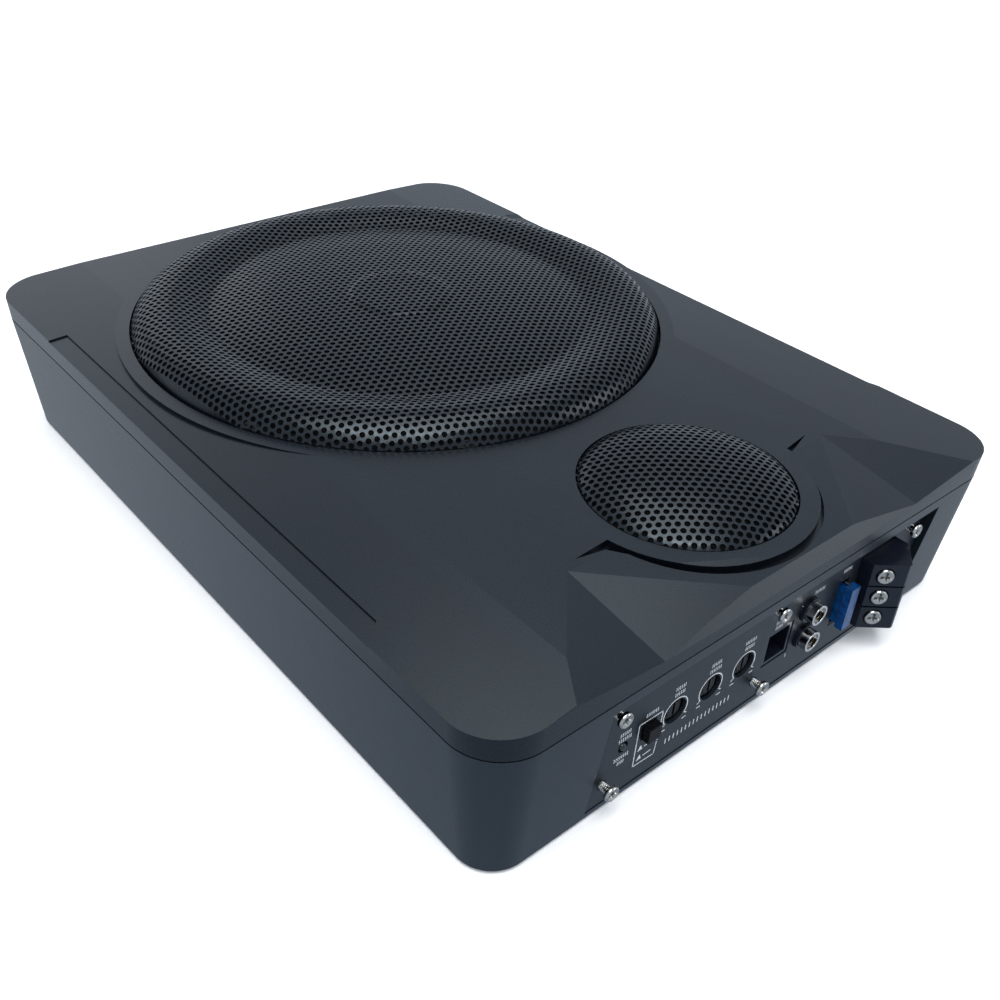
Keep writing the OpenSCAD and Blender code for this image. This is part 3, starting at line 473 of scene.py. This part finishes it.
# ------------------------------------------------------------ panel marks
def printed(name, strips):
    """White print on the panel: each strip is a closed outline of (x, z) points, a little proud."""
    verts, faces = [], []
    for strip in strips:
        n, start = len(strip), len(verts)
        verts += [(x, PANEL_Y - PRINT_PROUD, z) for x, z in strip]
        verts += [(x, PANEL_Y + PRINT_SUNK, z) for x, z in strip]
        faces.append(tuple(start + k for k in range(n)))
        faces.append(tuple(start + n + k for k in reversed(range(n))))
        faces += [(start + (k + 1) % n, start + k, start + n + k, start + n + (k + 1) % n) for k in range(n)]
    solid(name, verts, faces, PRINT, "case")


def bar(x0, z0, x1, z1, width):
    """A straight stroke from (x0, z0) to (x1, z1) with square ends."""
    along = Vector((x1 - x0, z1 - z0)).normalized() * width / 2
    side = Vector((-along.y, along.x))
    return [(x0 - along.x + side.x, z0 - along.y + side.y), (x1 + along.x + side.x, z1 + along.y + side.y),
            (x1 + along.x - side.x, z1 + along.y - side.y), (x0 - along.x - side.x, z0 - along.y - side.y)]


def arc_strips(cx, cz, radius, start, end, width, steps=26):
    """A curved stroke round (cx, cz), as a run of short strips."""
    angles = [math.radians(start + (end - start) * k / steps) for k in range(steps + 1)]
    far, near = radius + width / 2, radius - width / 2
    outer = [(cx + far * math.cos(a), cz + far * math.sin(a)) for a in angles]
    inner = [(cx + near * math.cos(a), cz + near * math.sin(a)) for a in angles]
    return [[outer[k], outer[k + 1], inner[k + 1], inner[k]] for k in range(steps)]


def ticks(cx, cz, count, height=1.35, pitch=0.86, width=0.3):
    """A short row of upright ticks standing where a label would be."""
    places = [cx + (k - (count - 1) / 2) * pitch for k in range(count)]
    return [bar(x, cz - height / 2, x, cz + height / 2, width) for x in places]


marks = []
for x in POTS_X:
    marks += arc_strips(x, ROW_Z, SCALE_R, *SCALE_ENDS, 0.4)
    for a in SCALE_ENDS:
        ca, sa = math.cos(math.radians(a)), math.sin(math.radians(a))
        marks.append(bar(x + SCALE_R * ca, ROW_Z + SCALE_R * sa, x + 7.2 * ca, ROW_Z + 7.2 * sa, 0.4))
        marks.append(bar(x + 6.2 * ca - 0.8, ROW_Z - 6.0, x + 6.2 * ca + 0.8, ROW_Z - 6.0, 0.4))
printed("scale_marks", marks)
# (x, z, number of ticks) for each line of a label
LABELS = ((-43.7, 36.0, 6), (-43.7, 33.4, 6), (-26.3, 36.0, 6), (-26.3, 33.4, 7), (-8.8, 36.2, 7),
          (-8.8, 33.6, 6), (-56.4, 32.6, 7), (-68.2, 31.0, 6), (-68.2, 28.6, 7), (-68.9, 20.6, 8),
          (-68.9, 18.2, 4), (6.8, 36.4, 5), (6.8, 34.0, 5), (28.4, 39.6, 7), (44.6, 41.0, 6), (66.5, 44.4, 8))
marks = []
for x, z, count in LABELS:
    marks += ticks(x, z, count)
marks += ticks(-31.0, 13.1, 17, 1.9, 2.0, 0.45)
marks += [bar(19.2, 35.2, 20.8, 36.8, 0.35), bar(19.2, 36.8, 20.8, 35.2, 0.35),
          bar(15.8, 14.6, 15.8, 16.0, 0.35)]
printed("label_marks", marks)
FRAME = ((-61.9, 30.2), (-51.0, 29.9), (-51.7, 16.6), (-52.3, 10.8), (-62.2, 11.2))
marks = [bar(*FRAME[k], *FRAME[(k + 1) % 5], 0.4) for k in range(5)]
marks += [[(-61.0, 17.4), (-58.6, 17.6), (-59.6, 19.8)], [(-60.9, 12.9), (-58.6, 13.1), (-59.5, 15.3)]]
marks += [bar(-57.6, z, -54.4, z + 0.1, 0.5) for z in (18.2, 13.8)]
printed("switch_marks", marks)

# ------------------------------------------------------ stage, light, camera
bm = bmesh.new()
bmesh.ops.create_grid(bm, x_segments=1, y_segments=1, size=4.0)
floor_mesh = bpy.data.meshes.new("floor")
bm.to_mesh(floor_mesh)
bm.free()
floor_mesh.materials.append(FLOOR)
floor = bpy.data.objects.new("floor", floor_mesh)
floor.location.z = -0.0002
bpy.context.scene.collection.objects.link(floor)
floor.visible_glossy = False


def softbox(name, place, target, size, power):
    """A rectangular area light at place, aimed at target."""
    data = bpy.data.lights.new(name, "AREA")
    data.shape = "RECTANGLE"
    data.size, data.size_y = size
    data.energy = power
    obj = bpy.data.objects.new(name, data)
    obj.location = place
    obj.rotation_euler = (Vector(target) - Vector(place)).to_track_quat("-Z", "Y").to_euler()
    bpy.context.scene.collection.objects.link(obj)


softbox("overhead", (-0.20, -0.15, 2.2), (0, 0, 0), (1.5, 1.5), 27)
softbox("right", (1.5, -1.3, 0.95), (0, -0.05, 0), (1.1, 0.9), 6.5)
softbox("high", (0.62, 0.54, 1.86), (0, 0, 0), (0.9, 0.9), 6.0)
softbox("front", (-0.57, -0.63, 1.60), (0, 0, 0), (1.0, 1.0), 17)
softbox("back", (0.30, 2.0, 0.9), (0, 0, 0), (1.0, 0.8), 1.1)

# A pale blue-grey surround, darker far below the horizon.
world = bpy.data.worlds.new("studio")
world.use_nodes = True
sky = world.node_tree.nodes
connect = world.node_tree.links.new
heading, rise = sky.new("ShaderNodeTexCoord"), sky.new("ShaderNodeSeparateXYZ")
level, blend = sky.new("ShaderNodeMapRange"), sky.new("ShaderNodeMix")
connect(heading.outputs["Generated"], rise.inputs["Vector"])
connect(rise.outputs["Z"], level.inputs["Value"])
level.inputs["From Min"].default_value = -0.82
level.inputs["From Max"].default_value = -0.46
blend.data_type = "RGBA"
blend.inputs["A"].default_value = (0.34, 0.41, 0.52, 1.0)
blend.inputs["B"].default_value = (0.66, 0.73, 0.82, 1.0)
connect(level.outputs["Result"], blend.inputs["Factor"])
connect(blend.outputs["Result"], sky["Background"].inputs["Color"])
sky["Background"].inputs["Strength"].default_value = 1.0
bpy.context.scene.world = world
bpy.context.scene.view_settings.view_transform = "Standard"

CAMERA_PLACE = (-0.2595, -0.3172, 0.2865)
CAMERA_TURN, CAMERA_TILT, CAMERA_ROLL = (math.radians(a) for a in (-42.15, 35.53, 3.24))
level_out = math.cos(CAMERA_TILT)
back = Vector((math.sin(CAMERA_TURN) * level_out, -math.cos(CAMERA_TURN) * level_out, math.sin(CAMERA_TILT)))
right = Vector((0, 0, 1)).cross(back).normalized()
up = back.cross(right)
rolled_right = math.cos(CAMERA_ROLL) * right + math.sin(CAMERA_ROLL) * up
rolled_up = -math.sin(CAMERA_ROLL) * right + math.cos(CAMERA_ROLL) * up
lens = bpy.data.cameras.new("camera")
lens.lens = 39.74
lens.sensor_width = 36.0
lens.clip_start = 0.01
camera = bpy.data.objects.new("camera", lens)
facing = Matrix((rolled_right, rolled_up, back)).transposed().to_4x4()
camera.matrix_world = Matrix.Translation(CAMERA_PLACE) @ facing
bpy.context.scene.collection.objects.link(camera)
bpy.context.scene.camera = camera
